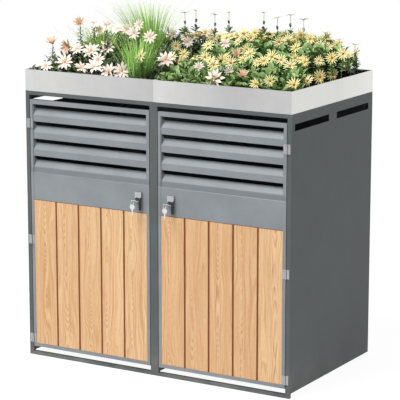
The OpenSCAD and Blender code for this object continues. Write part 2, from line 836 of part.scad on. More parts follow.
module foliage(side) color(leaf_green) {
    n = foliage_steps;
    top = [for (j = [0:n], i = [0:n]) [foliage_x(i / n), foliage_y(j / n), foliage_h(side, i / n, j / n)]];
    rim = concat([for (i = [0:n - 1]) i], [for (j = [0:n - 1]) j * (n + 1) + n],
                 [for (i = [n:-1:1]) n * (n + 1) + i], [for (j = [n:-1:1]) j * (n + 1)]);
    base = [for (k = rim) [top[k][0], top[k][1], 0]];
    middle = [tray_w / 2, store_d / 2, 0];
    first = len(top);
    count = len(rim);
    on_tray(side) translate([0, 0, soil_z - frame_h]) difference() {
        polyhedron(
            points = concat(top, base, [middle]),
            faces = concat(
                [for (j = [0:n - 1], i = [0:n - 1]) let (a = j * (n + 1) + i) [a, a + n + 1, a + 1]],
                [for (j = [0:n - 1], i = [0:n - 1]) let (a = j * (n + 1) + i) [a + 1, a + n + 1, a + n + 2]],
                [for (k = [0:count - 1]) [rim[k], rim[(k + 1) % count], first + k]],
                [for (k = [0:count - 1]) [rim[(k + 1) % count], first + (k + 1) % count, first + k]],
                [for (k = [0:count - 1]) [first + k, first + (k + 1) % count, first + count]]
            )
        );
        if (side < 0) for (spot = grass_spots) translate([spot[0], spot[1], -cut])
            cylinder(r = clearing_r, h = 2 * foliage_back_h);
    }
}

// Evenly scattered grid point number k of a tray, kept some steps off the foliage's edges
function scatter(k, margin, back_margin) = [
    margin + floor((foliage_steps - 2 * margin + 1) * ((0.5 + k * 0.7548777) % 1)),
    margin + floor((foliage_steps - margin - back_margin + 1) * ((0.5 + k * 0.5698403) % 1))
];

// Steps at the back of the right tray that are kept for the bud stems
bud_rows = 3;
// Flower stems and bud stems stand on the foliage with a point
stem_r = 1.6;
point_h = 8;

module pointed_stem(length) {
    cylinder(r1 = 0.1, r2 = stem_r, h = point_h);
    translate([0, 0, point_h]) cylinder(r = stem_r, h = length - point_h);
}

// Flower on its stem: a ring of petals, each given by four points as shares of its angle and radius,
// and a domed middle
module daisy(petals, r, stem_l) {
    petal = [[-0.36, 0.98], [0, 1], [0.36, 0.98], [0.5, 0.34]];
    petal_t = 2;
    eye_h = 5;
    pointed_stem(stem_l);
    translate([0, 0, stem_l]) {
        linear_extrude(petal_t) polygon([
            for (k = [0:petals - 1], p = petal) let (a = (k + p[0]) * 360 / petals) r * p[1] * [cos(a), sin(a)]
        ]);
        cylinder(r1 = 0.24 * r, r2 = 0.14 * r, h = eye_h);
    }
}

// Whether a flower of radius r has room beside the grass
function beside_grass(side, x, y, r) =
    side > 0 || min([for (spot = grass_spots) norm([x, y] - spot)]) > clearing_r + r + 10;

// Places children on the foliage of a tray, at a grid point
module on_foliage(side, spot) {
    u = spot[0] / foliage_steps;
    v = spot[1] / foliage_steps;
    on_tray(side) translate([foliage_x(u), foliage_y(v), soil_z - frame_h + foliage_h(side, u, v) + soft_gap])
        children();
}

// Flowers of one kind on a tray, on stems of different lengths
module daisies(side, count, petals, r, margin) {
    shortest = 28;
    spread = 30;
    for (k = [0:count - 1]) {
        spot = scatter(k, margin, side < 0 ? margin : bud_rows + 2);
        if (beside_grass(side, foliage_x(spot[0] / foliage_steps), foliage_y(spot[1] / foliage_steps), r))
            on_foliage(side, spot) rotate(k * 47) daisy(petals, r, shortest + (k * 17) % spread);
    }
}

module pink_daisies() color("mistyrose") daisies(left, pink_n, 10, pink_r, 3);

module yellow_daisies() color("khaki") daisies(right, yellow_n, 12, yellow_r, 2);

// Clump of grass: blades in rings on a low crown, each bent outwards in an arc
module tuft(spot, count, height, spread) color(grass_green) {
    crown_h = 12;
    crown_r = 30;
    blade = [1.4, 4];
    on_tray(left) translate([spot[0], spot[1], soil_z - frame_h]) {
        cylinder(r1 = crown_r, r2 = crown_r - 4, h = crown_h);
        for (k = [0:count - 1]) {
            t = (k + 0.5) / count;
            bend = spread * (0.15 + 0.85 * t);
            arc_r = (height - crown_h) * (0.72 + 0.28 * ((k * 7) % 11) / 10) / sin(bend);
            rotate(k * 137.508) translate([(crown_r - 7) * sqrt(t) + arc_r, 0, crown_h - 2])
                rotate([90, 0, 0]) rotate([0, 0, 180 - bend])
                    rotate_extrude(angle = bend) translate([arc_r, 0]) square(blade, center = true);
        }
    }
}

// Stems with closed buds, standing above the foliage along the back of the right tray
module bud_stems() color(leaf_green) {
    bud = [[0, 0], [5, 5], [6.5, 10], [4, 20], [0, 26]];
    for (k = [0:bud_n - 1]) {
        stem_l = bud_h * (0.7 + 0.3 * ((k * 5) % 8) / 7);
        on_foliage(right, [2 + floor(k * (foliage_steps - 4) / bud_n), foliage_steps - 1 - k % bud_rows]) {
            pointed_stem(stem_l);
            translate([0, 0, stem_l - 2]) rotate_extrude() polygon(bud);
        }
    }
}

side_panel(left);  // left_side_panel
side_panel(right);  // right_side_panel
centre_wall();
back_panel(left);  // left_back_panel
back_panel(right);  // right_back_panel
outer_post(left);  // left_post
outer_post(right);  // right_post
centre_post();
sill(left);  // left_sill
sill(right);  // right_sill
head_rail(left);  // left_head_rail
head_rail(right);  // right_head_rail
rear_sill();
door_stop(left);  // left_door_stop
door_stop(right);  // right_door_stop
rear_bolts();
tray_bearers();
drain_spouts();
hinge_post_leaves();
hinge_pins();
hinge_post_screws();
tray(left);  // left_tray
tray(right);  // right_tray
soil(left);  // left_soil
soil(right);  // right_soil
foliage(left);  // left_foliage
foliage(right);  // right_foliage
tuft(grass_spots[0], grass_n, grass_h, 34);  // grass_tuft
tuft(grass_spots[1], grass_n, rear_grass_h, 36);  // rear_grass_tuft
tuft(grass_spots[2], floor(grass_n / 2), short_grass_h, 28);  // short_grass_tuft
pink_daisies();
yellow_daisies();
bud_stems();
door_frame(left);  // left_door_frame
louvre_panel(left);  // left_louvre_panel
wood_panel(left);  // left_wood_panel
door_rails(left);  // left_door_rails
hinge_door_leaves(left);  // left_hinge_leaves
color(steel) hinge_screws(left, pin_x - hinge_screw_x);  // left_hinge_screws
lock_body(left);  // left_lock_body
lock_nut(left);  // left_lock_nut
lock_plug(left);  // left_lock_plug
lock_cam(left);  // left_lock_cam
inserted_key(left);  // left_key
key_ring(left);  // left_key_ring
spare_key(left);  // left_spare_key
door_frame(right);  // right_door_frame
louvre_panel(right);  // right_louvre_panel
wood_panel(right);  // right_wood_panel
door_rails(right);  // right_door_rails
hinge_door_leaves(right);  // right_hinge_leaves
color(steel) hinge_screws(right, pin_x - hinge_screw_x);  // right_hinge_screws
lock_body(right);  // right_lock_body
lock_nut(right);  // right_lock_nut
lock_plug(right);  // right_lock_plug
lock_cam(right);  // right_lock_cam
inserted_key(right);  // right_key
key_ring(right);  // right_key_ring
spare_key(right);  // right_spare_key
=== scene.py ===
import math

import bpy
import numpy as np
from mathutils import Matrix, Vector


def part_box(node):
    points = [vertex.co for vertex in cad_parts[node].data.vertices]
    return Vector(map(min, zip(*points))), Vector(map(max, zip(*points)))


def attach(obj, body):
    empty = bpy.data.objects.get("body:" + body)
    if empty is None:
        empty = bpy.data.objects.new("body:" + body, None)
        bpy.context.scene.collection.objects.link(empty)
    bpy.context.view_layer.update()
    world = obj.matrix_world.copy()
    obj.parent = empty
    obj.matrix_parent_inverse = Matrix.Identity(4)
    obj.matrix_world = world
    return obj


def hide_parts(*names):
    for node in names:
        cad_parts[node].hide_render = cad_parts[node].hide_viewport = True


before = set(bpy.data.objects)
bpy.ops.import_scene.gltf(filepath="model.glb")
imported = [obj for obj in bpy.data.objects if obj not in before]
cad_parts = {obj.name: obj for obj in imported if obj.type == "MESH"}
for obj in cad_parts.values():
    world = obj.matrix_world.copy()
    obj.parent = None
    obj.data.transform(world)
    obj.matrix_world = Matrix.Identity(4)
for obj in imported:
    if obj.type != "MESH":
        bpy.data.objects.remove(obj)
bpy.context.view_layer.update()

# Camera: a 172 mm lens about 8.5 m away, to the right of the doors and a little above the trays. It has no
# shift, so its upright edges meet the photograph's parallel ones near the ground and spread a little above.
photo_size = 400
heading = math.radians(30.79)
tilt = math.radians(90 - 11.69)
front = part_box("centre_post")[0][1]
camera_place = Vector((4.426, front - 7.026, 2.528))
camera_data = bpy.data.cameras.new("camera")
camera_data.sensor_width = 36
camera_data.lens = 171.8
camera_data.clip_end = 100
camera = bpy.data.objects.new("camera", camera_data)
camera.matrix_world = (Matrix.Translation(camera_place) @ Matrix.Rotation(heading, 4, "Z")
                       @ Matrix.Rotation(tilt, 4, "X"))
bpy.context.collection.objects.link(camera)
bpy.context.scene.camera = camera
bpy.context.scene.view_settings.view_transform = "Standard"


# Cabinet: square tube posts, rails and sills with panels of folded sheet, welded together and powder-coated
# in a dark satin grey. The coat has a fine orange-peel skin, faint cloudy patches and a little dust near
# the ground.
class Wire:
    """A shader node's output that can be used in Python arithmetic."""

    def __init__(self, tree, socket):
        self.tree = tree
        self.socket = socket

    def maths(self, operation, *values, clamp=False):
        node = self.tree.nodes.new("ShaderNodeMath")
        node.operation = operation
        node.use_clamp = clamp
        for place, value in zip(node.inputs, values):
            connect(self.tree, place, value)
        return Wire(self.tree, node.outputs[0])

    def __add__(self, other):
        return self.maths("ADD", self, other)

    def __radd__(self, other):
        return self.maths("ADD", other, self)

    def __sub__(self, other):
        return self.maths("SUBTRACT", self, other)

    def __rsub__(self, other):
        return self.maths("SUBTRACT", other, self)

    def __mul__(self, other):
        return self.maths("MULTIPLY", self, other)

    def __rmul__(self, other):
        return self.maths("MULTIPLY", other, self)

    def __truediv__(self, other):
        return self.maths("DIVIDE", self, other)

    def floor(self):
        return self.maths("FLOOR", self)

    def fraction(self):
        return self.maths("FRACT", self)

    def root(self):
        return self.maths("SQRT", self)

    def sine(self):
        return self.maths("SINE", self)

    def absolute(self):
        return self.maths("ABSOLUTE", self)

    def least(self, other):
        return self.maths("MINIMUM", self, other)

    def ramp(self, low, high):
        """Goes from 0 at low to 1 at high, and stays within 0 and 1."""
        return self.maths("MULTIPLY_ADD", self, 1 / (high - low), -low / (high - low), clamp=True)


def connect(tree, place, value):
    """Links a wire to an input socket, or writes a plain value on it."""
    if isinstance(value, Wire):
        tree.links.new(value.socket, place)
    elif isinstance(value, tuple) and len(place.default_value) > len(value):
        place.default_value = (*value, 1)
    else:
        place.default_value = value


def srgb(code):
    """Linear colour of a six-digit code: each channel c becomes ((c + 0.055) / 1.055) ^ 2.4."""
    channels = [int(code[i:i + 2], 16) / 255 for i in (0, 2, 4)]
    return tuple(c / 12.92 if c <= 0.04045 else ((c + 0.055) / 1.055) ** 2.4 for c in channels)


class Finish:
    """Nodes of a new material or world. node() adds any node, and coat() fills the Principled sockets."""

    def __init__(self, name, kind="materials"):
        self.owner = getattr(bpy.data, kind).new(name)
        self.owner.use_nodes = True
        self.tree = self.owner.node_tree
        self.shader = self.tree.nodes.get("Principled BSDF")

    def node(self, kind, settings=None, values=None, output=None):
        node = self.tree.nodes.new("ShaderNode" + kind)
        for key, value in (settings or {}).items():
            setattr(node, key, value)
        for key, value in (values or {}).items():
            place = next(s for s in node.inputs if s.enabled and key in (s.name, s.identifier))
            connect(self.tree, place, value)
        return Wire(self.tree, next(s for s in node.outputs if s.enabled and output in (None, s.name)))

    def place(self):
        """Object coordinates."""
        return self.node("TexCoord", output="Object")

    def part(self, vector, axis):
        """The X, Y or Z part of a vector."""
        return self.node("SeparateXYZ", values={"Vector": vector}, output=axis)

    def vector(self, x, y, z):
        return self.node("CombineXYZ", values={"X": x, "Y": y, "Z": z})

    def stretch(self, vector, scales):
        return self.node("VectorMath", {"operation": "MULTIPLY"}, {"Vector": vector, "Vector_001": scales})

    def noise(self, vector, scale, detail=3.0, roughness=0.55):
        return self.node("TexNoise", values={
            "Vector": vector, "Scale": scale, "Detail": detail, "Roughness": roughness}, output="Fac")

    def mix(self, first, second, share):
        return self.node("Mix", {"data_type": "RGBA"}, {"A": first, "B": second, "Factor": share})

    def bump(self, height, distance, strength=1.0, below=None):
        values = {"Height": height, "Distance": distance, "Strength": strength}
        if below is not None:
            values["Normal"] = below
        return self.node("Bump", values=values)

    def attribute(self, name):
        return self.node("Attribute", {"attribute_name": name}, output="Fac")

    def coat(self, **values):
        for key, value in values.items():
            name = key.replace("_", " ").title().replace("Ior", "IOR")
            connect(self.tree, self.shader.inputs[name], value)
        return self.owner


def powder_coat(name, colour, dusty, gloss, joggle=None):
    """Coloured powder coat: cloudy patches 15 cm across, orange peel 1.5 mm across, and dust that fades
    with height. The sheet may step out below the height of a joggle, with a band of painted shade above the
    step."""
    dust_top, step_h, step_out = 0.16, 0.003, 0.0025
    shade_band_low, shade_band_high = 0.02, 0.03
    paint = Finish(name)
    vector = paint.place()
    z = paint.part(vector, "Z")
    clouds = paint.noise(vector, 6.5, 4)
    specks = paint.noise(vector, 160, 2)
    tint = paint.mix(tuple(0.9 * c for c in colour), tuple(1.1 * c for c in colour), clouds.ramp(0.3, 0.7))
    dust = (1 - z.ramp(0.0, dust_top)) * clouds.ramp(0.35, 0.75) * dusty
    skin = paint.bump(paint.noise(vector, 700, 1), 0.00012, 0.35)
    if joggle:
        step = z.ramp(joggle - step_h / 2, joggle + step_h / 2)
        # Painted shade: the band above the step is painted darker, as the face there lies in shade under the
        # louvres.
        painted_shade_band = step * (1 - z.ramp(joggle + shade_band_low, joggle + shade_band_high))
        tint = paint.mix(tint, tuple(0.8 * c for c in colour), painted_shade_band)
        skin = paint.bump(1 - step, step_out, 1.0, skin)
    return paint.coat(
        base_color=paint.mix(tint, srgb("A9A59C"), dust),
        roughness=gloss + 0.1 * clouds + 0.08 * specks,
        specular_ior_level=0.32,
        normal=skin,
    )


def dress(material, *nodes):
    """Gives CAD nodes a material."""
    for name in nodes:
        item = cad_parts[name]
        item.data.materials.clear()
        item.data.materials.append(material)


def both(*names):
    """The left and the right node of each name."""
    return [side + "_" + name for name in names for side in ("left", "right")]


cabinet_coat = powder_coat("cabinet_powder_coat", srgb("5A5F60"), 0.35, 0.42)
dress(cabinet_coat, "centre_wall", "centre_post", "rear_sill", "tray_bearers",
      *both("side_panel", "back_panel", "post", "sill", "head_rail", "door_stop"))


# Bolts, hinges and drain spouts: stainless fasteners with a turned grain, and black moulded plastic.
# The hinges are screwed flat on the posts and door frames, with their pins in front of the gap.
def plain_metal(name, colour, low, high, grain):
    """Metal of roughness between low and high, whose fine grain has a count per metre along each axis."""
    metal = Finish(name)
    vector = metal.place()
    lines = metal.noise(metal.stretch(vector, grain), 1, 3)
    blotches = metal.noise(vector, 60, 2)
    return metal.coat(
        base_color=metal.mix(tuple(0.82 * c for c in colour), colour, lines.ramp(0.3, 0.7)),
        metallic=1.0,
        roughness=low + (high - low) * (0.6 * lines + 0.4 * blotches),
        normal=metal.bump(lines, 0.00004, 0.4),
    )


stainless = plain_metal("stainless_steel", (0.47, 0.475, 0.47), 0.28, 0.45, (260, 260, 1500))
dress(stainless, "rear_bolts", "hinge_post_leaves", "hinge_pins", "hinge_post_screws",
      *both("hinge_leaves", "hinge_screws"))

moulded = Finish("black_moulded_plastic")
pits = moulded.noise(moulded.place(), 900, 2)
dress(moulded.coat(
    base_color=moulded.mix(srgb("1E1E1F"), srgb("2B2B2C"), pits),
    roughness=0.5 + 0.2 * pits,
    normal=moulded.bump(pits, 0.00005, 0.5),
), "drain_spouts")


# Planter trays: folded from bare zinc-coated sheet, with a hem along the rim and a bead at each end of the
# front. The sheet is rolled lengthwise, so its grain runs level, with dull cloudy patches and faint runs
# below the rim. A reflection fading along each front and a sheen on the two ends are painted into its
# colour, and inside, up to the hem, it is made near-black as painted shade.
tray_low, tray_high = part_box("right_tray")
tray_w = tray_high[0]
tray_d = tray_high[1] - tray_low[1]
base_z, rim_z = tray_low[2], tray_high[2]
bead_w, bead_step = 0.021, 0.0025
hem_h = 0.005


def inner(depth):
    """1 on a face that lies deeper than half the sheet's thickness of 1.5 mm, and 0 on the outer face."""
    return depth.ramp(0.0006, 0.0009)


zinc = Finish("zinc_coated_sheet")
vector = zinc.place()
x, y, z = (zinc.part(vector, axis) for axis in "XYZ")
grain = zinc.noise(zinc.stretch(vector, (3, 3, 900)), 1, 3)
clouds = zinc.noise(vector, 9, 4)
runs = zinc.noise(zinc.stretch(vector, (70, 70, 2)), 1, 2).ramp(0.55, 0.8)

# Painted reflection: the front of each tray is painted darker from its left end to its right, mixed with
# the cloudy patches. The right one darkens sooner, and is painted brighter again at its end.
share = ((x + tray_w) / tray_w).fraction()
right_reflection_fade = x.ramp(0, 0.001) * (share.ramp(0.05, 0.5) * 0.6 - share.ramp(0.6, 1.0) * 0.9)
reflection_fade_and_clouds = (share.ramp(0.05, 1.0) + right_reflection_fade) * 0.75 + clouds.ramp(0.3, 0.75) * 0.25
sheet = zinc.mix((0.68, 0.68, 0.675), (0.49, 0.49, 0.49), reflection_fade_and_clouds)

# Painted sheen: the two ends of the pair are painted brighter than the front, most of all towards the back.
painted_end_sheen = zinc.mix((0.83, 0.83, 0.80), (0.94, 0.94, 0.92), y.ramp(front + 0.40, front + tray_d))
reach = x.absolute()
sheet = zinc.mix(sheet, painted_end_sheen, reach.ramp(tray_w - 0.0012, tray_w - 0.0004))

# Painted shade: all that lies behind the outer faces, which go deeper in the beads of the front, is made
# near-black up to the hem.
from_end = reach.least(tray_w - reach)
behind_front = y - front - bead_step * (1 - from_end.ramp(bead_w - 0.0005, bead_w + 0.0005))
below_hem = (rim_z - z).ramp(hem_h - 0.001, hem_h + 0.001)
walls = inner(tray_w - reach) * inner(behind_front) * inner(tray_d + front - y)
inner_painted_shade = walls * below_hem * inner(z - base_z)
sheet = zinc.mix(zinc.mix(sheet, (0.45, 0.45, 0.44), runs * 0.1), (0.02, 0.02, 0.02), inner_painted_shade)
dress(zinc.coat(
    base_color=sheet,
    metallic=0.75 * (1 - inner_painted_shade),
    roughness=0.42 + 0.16 * clouds + 0.05 * grain,
    normal=zinc.bump(grain, 0.00006, 0.5),
), *both("tray"))


# Doors: a folded frame round a sheet with four pressed louvres and a flat lock panel, powder-coated lighter
# than the cabinet, with two tubes across the back. The whole door is coated after it is welded.
lock_panel_z = 0.8725
door_coat = powder_coat("door_powder_coat", srgb("8B9195"), 0.15, 0.34, lock_panel_z)
dress(door_coat, *both("door_frame", "louvre_panel", "door_rails"))


# Wood panels: oiled oak boards with bevelled edges, five to a door, standing upright in the door frame.
# Each board is cut from its own place in the log, with flame figure in some and straight grain in others.
boards, lap, bevel_d = 5, 0.003, 0.0035
panel_left, panel_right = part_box("right_wood_panel")[0][0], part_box("right_wood_panel")[1][0]
board_w = (panel_right - panel_left - 2 * lap) / boards
oak = Finish("oiled_oak")
vector = oak.place()
x, y, z = (oak.part(vector, axis) for axis in "XYZ")
side_x = x.absolute() - (panel_left + lap)
board = (side_x / board_w).floor() + 7 * x.ramp(-0.001, 0.001)

# Two numbers from 0 to 1 that look random, worked out from the number of the board.
draw = (board * 12.9898 + 4.1).sine() * 43.7585
lot = draw.fraction()
second_lot = (draw * 7.31).fraction()

# The growth rings are circles round the heart of the log, which lies a little way behind the face of the
# board. Where it bows towards the face, they open into flames.
across = (side_x / board_w).fraction() - 0.5
wander = oak.noise(oak.vector(across * 1.3, board * 3.7, z * 1.6), 1.6, 1) - 0.5
bow = oak.noise(oak.vector(across * 0.3, board * 5.3, z * 3.2), 1, 0) - 0.5
heart = across * 0.11 + (lot - 0.5) * 0.06 + wander * 0.03
depth = 0.005 + 0.015 * second_lot + bow * 0.07
radius = (heart * heart + depth * depth).root()
rings = (radius * 310 + wander * 1.2).fraction()
late = rings.ramp(0.3, 0.85) * (1 - rings.ramp(0.85, 1.0))

# Fibres, streaks and pores run along the grain, and the bevels between the boards are darker.
fibre = oak.noise(oak.vector(x * 420, y * 300, z * 9), 1, 4, 0.65)
streaks = oak.noise(oak.vector(x * 135 + 12 * wander, board, z * 1.1), 1, 4)
pores = oak.noise(oak.vector(x * 700, board, z * 40), 1, 2).ramp(0.52, 0.68)
figure = late * 0.40 + (fibre - 0.5) * 1.1 + (streaks - 0.5) * 2.2 + 0.06
tone = oak.mix(srgb("F3CE9F"), srgb("BC7A3F"), figure)
tone = oak.mix(tone, srgb("BF7838"), lot * 0.25 + wander.ramp(-0.1, 0.5) * 0.2)
tone = oak.mix(tone, srgb("9A5A28"), pores * late * 0.6)
groove = y.ramp(front + 0.0008, front + bevel_d) * (1 - y.ramp(front + 0.006, front + 0.008))
dress(oak.coat(
    base_color=oak.mix(tone, srgb("8E4E1E"), groove),
    roughness=0.42 + 0.18 * fibre + 0.1 * late,
    normal=oak.bump(streaks * 0.5 + fibre * 0.4 - pores * late, 0.0004, 0.6),
), *both("wood_panel"))


# Locks and keys: a bright die-cast escutcheon with a black cranked lever over the plug, nickel keys and a
# split ring. The moving pieces turn in the door, and the spare key hangs from the ring.
die_cast = plain_metal("polished_die_casting", (0.52, 0.53, 0.54), 0.14, 0.30, (300, 300, 300))
dress(die_cast, *both("lock_body", "lock_nut", "lock_cam"))
lever = Finish("black_lacquered_steel")
smears = lever.noise(lever.place(), 120, 3)
dress(lever.coat(
    base_color=lever.mix(srgb("1B1C1E"), srgb("303133"), smears),
    roughness=0.25 + 0.25 * smears,
    normal=lever.bump(smears, 0.00004, 0.3),
), *both("lock_plug"))
nickel = plain_metal("nickel_plate", (0.82, 0.81, 0.79), 0.16, 0.34, (900, 900, 200))
dress(nickel, *both("key", "key_ring", "spare_key"))


# Compost: dark and crumbly, filled to 32 mm below the rim and heaped a little between the plants.
# Its surface is a grid that a product of two waves lifts, with the crumbs added at random.
def piece(name, points, faces, material, body, **values):
    """Smooth mesh object of points and four-sided faces, with values per point for its material."""
    mesh = bpy.data.meshes.new(name)
    mesh.vertices.add(len(points))
    mesh.vertices.foreach_set("co", np.ravel(points).astype(np.float32))
    mesh.loops.add(faces.size)
    mesh.loops.foreach_set("vertex_index", faces.ravel().astype(np.int32))
    mesh.polygons.add(len(faces))
    mesh.polygons.foreach_set("loop_start", np.arange(0, faces.size, 4, dtype=np.int32))
    mesh.polygons.foreach_set("use_smooth", np.ones(len(faces), bool))
    for key, value in values.items():
        spread = np.broadcast_to(value, len(points)).astype(np.float32)
        mesh.attributes.new(key, "FLOAT", "POINT").data.foreach_set("value", spread)
    mesh.update()
    mesh.validate()
    mesh.materials.append(material)
    item = bpy.data.objects.new(name, mesh)
    bpy.context.collection.objects.link(item)
    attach(item, body)
    return item


def grid_faces(rows, columns):
    """Four-sided faces of a grid of points stored row by row."""
    corner = (np.arange(rows - 1)[:, None] * columns + np.arange(columns - 1)).reshape(-1, 1)
    return corner + np.array([0, 1, columns + 1, columns])


rng = np.random.default_rng(11)
soil_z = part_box("left_soil")[1][2]

compost = Finish("potting_compost")
vector = compost.place()
crumbs = compost.noise(vector, 150, 5, 0.7)
damp = compost.noise(vector, 9, 3)
earth = compost.mix(srgb("1C140E"), srgb("4A3728"), crumbs.ramp(0.4, 0.7))
compost_look = compost.coat(
    base_color=compost.mix(earth, srgb("120D09"), damp.ramp(0.4, 0.7)),
    roughness=0.85 + 0.1 * crumbs,
    normal=compost.bump(crumbs, 0.004, 0.9),
)
rows, columns = 130, 116
inset, level_edge = 0.0025, 0.01
heap_h, crumb_h = 0.004, 0.003
tray_starts = {"left": -tray_w, "right": 0.0}
for side, first in tray_starts.items():
    xs = np.linspace(first + inset, first + tray_w - inset, columns)
    ys = np.linspace(front + inset, front + tray_d - inset, rows)
    px, py = np.meshgrid(xs, ys)
    heap = heap_h * np.sin(31 * px + 9 * py) * np.sin(27 * py + 3) + crumb_h * rng.standard_normal(px.shape)
    edge = np.minimum.reduce([px - xs[0], xs[-1] - px, py - ys[0], ys[-1] - py])
    top = soil_z + heap * np.clip(edge / level_edge, 0, 1)
    points = np.stack([px, py, top], -1).reshape(-1, 3)
    item = piece(side + "_compost", points, grid_faces(rows, columns), compost_look, "cabinet")
    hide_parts(side + "_soil")


# Leaves: leafy stems fill both trays up to a lumpy canopy, dark and pointed on the left, rounder and
# lighter on the right. Each stem carries eight leaves set round it by the golden angle.
def shoulder(t, least):
    """1 half-way from 0 to 1, falling to least at both ends as the fifth power of the distance."""
    return least + (1 - least) * (1 - np.abs(2 * t - 1) ** 5)


def canopy(x, y):
    """Height of the foliage above the ground. A share v of the way to the back of a tray, it has risen as
    the sine of 90 v degrees, to the power of 1.2. It falls at the edges and in the right tray's far corner,
    swells in waves 27 cm long and has hummocks about 9 cm long, one for each plant."""
    edge, low, rise = 0.008, 0.062, 0.113
    left_level, swell_h, hummock_h = 0.9, 0.10, 0.08
    right = x > 0
    u = np.clip((np.where(right, x, x + tray_w) - edge) / (tray_w - 2 * edge), 0, 1)
    v = np.clip((y - front - edge) / (tray_d - 2 * edge), 0, 1)
    corner = 1 - 0.55 * np.maximum(0, u - 0.72) / 0.28 * np.maximum(0, v - 0.6) / 0.4
    swell = np.sin(np.radians(900 * u + 60)) * np.sin(np.radians(820 * v + 30 * np.where(right, 1, -1)))
    hummocks = np.sin(np.radians(2700 * u + 500 * v)) * np.sin(np.radians(2500 * v + 300 * u))
    height = (low + rise * np.sin(np.pi / 2 * v) ** 1.2) * shoulder(u, 0.75) * shoulder(v, 0.6)
    level = np.where(right, corner, left_level)
    return soil_z + height * level * (1 + swell_h * swell + hummock_h * hummocks)


leaf_rows = (0.0, 0.3, 0.7, 1.0)


def blade(widths, width, fold, curl):
    """Leaf or petal of length 1 along +y. Its half-width at the leaf rows is its share of widths times half
    the width, its edges rise by fold above the midrib, and it drops by curl times the square of the way.
    A shape is points, faces and two marks for each point: here the way along it and that to its edge."""
    s = np.array(leaf_rows)[:, None] + np.zeros(3)
    t = np.zeros((len(leaf_rows), 1)) + np.array([-1.0, 0.0, 1.0])
    half = np.array(widths)[:, None] * width / 2
    points = np.stack([t * half, s, 2 * fold * np.abs(t) * half - curl * s ** 2], -1)
    return points.reshape(-1, 3), grid_faces(len(leaf_rows), 3), np.stack([s, np.abs(t)], -1).reshape(-1, 2)


def turn_x(angle):
    """Rotation about x by the angles, as an array of 3 by 3 matrices."""
    c, s, o = np.cos(angle), np.sin(angle), np.zeros_like(angle)
    return np.stack([np.stack([o + 1, o, o], -1), np.stack([o, c, -s], -1), np.stack([o, s, c], -1)], -2)


def turn_z(angle):
    """Rotation about z by the angles, as an array of 3 by 3 matrices."""
    c, s, o = np.cos(angle), np.sin(angle), np.zeros_like(angle)
    return np.stack([np.stack([c, -s, o], -1), np.stack([s, c, o], -1), np.stack([o, o, o + 1], -1)], -2)


def facing(directions, spin):
    """Matrices with z along each direction and x level, turned by spin about that direction."""
    z = directions / np.linalg.norm(directions, axis=-1, keepdims=True)
    nearly_up = np.array([1e-3, 2e-3, 1.0])
    x = np.cross(nearly_up, z)
    x /= np.linalg.norm(x, axis=-1, keepdims=True)
    return np.stack([x, np.cross(z, x), z], -1) @ turn_z(spin)


def stamp(shape, places, turns, sizes):
    """Copies of one small shape: every point is scaled, turned and moved for each place."""
    points, faces, marks = shape
    copies = np.einsum("nij,kj->nki", turns, points) * np.reshape(sizes, (-1, 1, 1)) + places[:, None, :]
    offsets = (np.arange(len(places)) * len(points))[:, None, None]
    return copies.reshape(-1, 3), (faces[None] + offsets).reshape(-1, 4), np.tile(marks, (len(places), 1))


def joined(*shapes):
    """One shape of several, put one after another."""
    points, faces, marks = zip(*shapes)
    starts = np.cumsum([0] + [len(p) for p in points[:-1]])
    faces = [f + start for f, start in zip(faces, starts)]
    return np.concatenate(points), np.concatenate(faces), np.concatenate(marks)


def whorl(leaf, count, spread, low, high):
    """Leaves round an upright stem that ends at the origin, from the foot of the spread to the top. Leaf i
    is turned by i golden angles, its slope goes from low to high degrees, and its length from 1 to 0.65."""
    golden = math.radians(137.5)
    i = np.arange(count)
    t = i / (count - 1)
    turns = turn_z(i * golden) @ turn_x(np.radians(low + (high - low) * t))
    return stamp(leaf, np.stack([0 * t, 0 * t, (t - 1) * spread], -1), turns, 1 - 0.35 * t)


def stalks(feet, heads, radius, lean, paleness, rings=5):
    """Thin four-sided stems from feet to heads. A share s of the way up, they have gone s ^ lean of the way
    across, and their first mark is s times their paleness."""
    s = np.linspace(0, 1, rings)[:, None]
    share = np.concatenate([s ** lean, s ** lean, s], -1)
    path = feet[:, None] + (heads - feet)[:, None] * share
    corner = np.arange(4) * math.pi / 2 + math.pi / 4
    ring = np.stack([np.cos(corner), np.sin(corner), 0 * corner], -1) * radius
    k = np.arange(4)
    after = (k + 1) % 4
    below = np.arange(rings - 1)[:, None] * 4
    one_stem = np.stack([below + k, below + after, below + 4 + after, below + 4 + k], -1).reshape(-1, 4)
    faces = one_stem + (np.arange(len(feet)) * rings * 4)[:, None, None]
    along = np.broadcast_to(s, (len(feet), rings, 4)).ravel() * paleness
    return (path[:, :, None] + ring).reshape(-1, 3), faces.reshape(-1, 4), np.stack([along, 0 * along], -1)


def kept_in(shape, homes):
    """Shape of plants stored one after another, kept in the tray where each plant's home x is: points up to
    2 cm above the rim stay inside it, and higher ones hardly lean out."""
    clear_h, wall_gap, lean_out = 0.020, 0.005, 0.003
    points, faces, marks = shape
    first = np.repeat(np.where(homes < 0, -tray_w, 0.0), len(points) // len(homes))
    room = np.where(points[:, 2] < rim_z + clear_h, wall_gap, -lean_out)
    low = np.stack([first + room, front + room], -1)
    high = np.stack([first + tray_w - room, front + tray_d - room], -1)
    return np.concatenate([np.clip(points[:, :2], low, high), points[:, 2:]], -1), faces, marks


def rooted(heads, stray):
    """Feet of stems on the compost, a little astray from under their heads."""
    dx, dy = rng.normal(0, stray, (2, len(heads)))
    return heads + np.stack([dx, dy, soil_z - heads[:, 2]], -1)


def spins(count):
    """Random turns about an axis, up to a full turn."""
    return rng.uniform(0, 6.28, count)


def plant(name, shape, look, tone, node=None):
    """Piece on the cabinet with a shape's marks and a tone, which goes from 0, shaded, to 1, bright."""
    points, faces, marks = shape
    item = piece(name, points, faces, look, "cabinet", along=marks[:, 0], edge=marks[:, 1], tone=tone)
    if node:
        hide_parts(node)


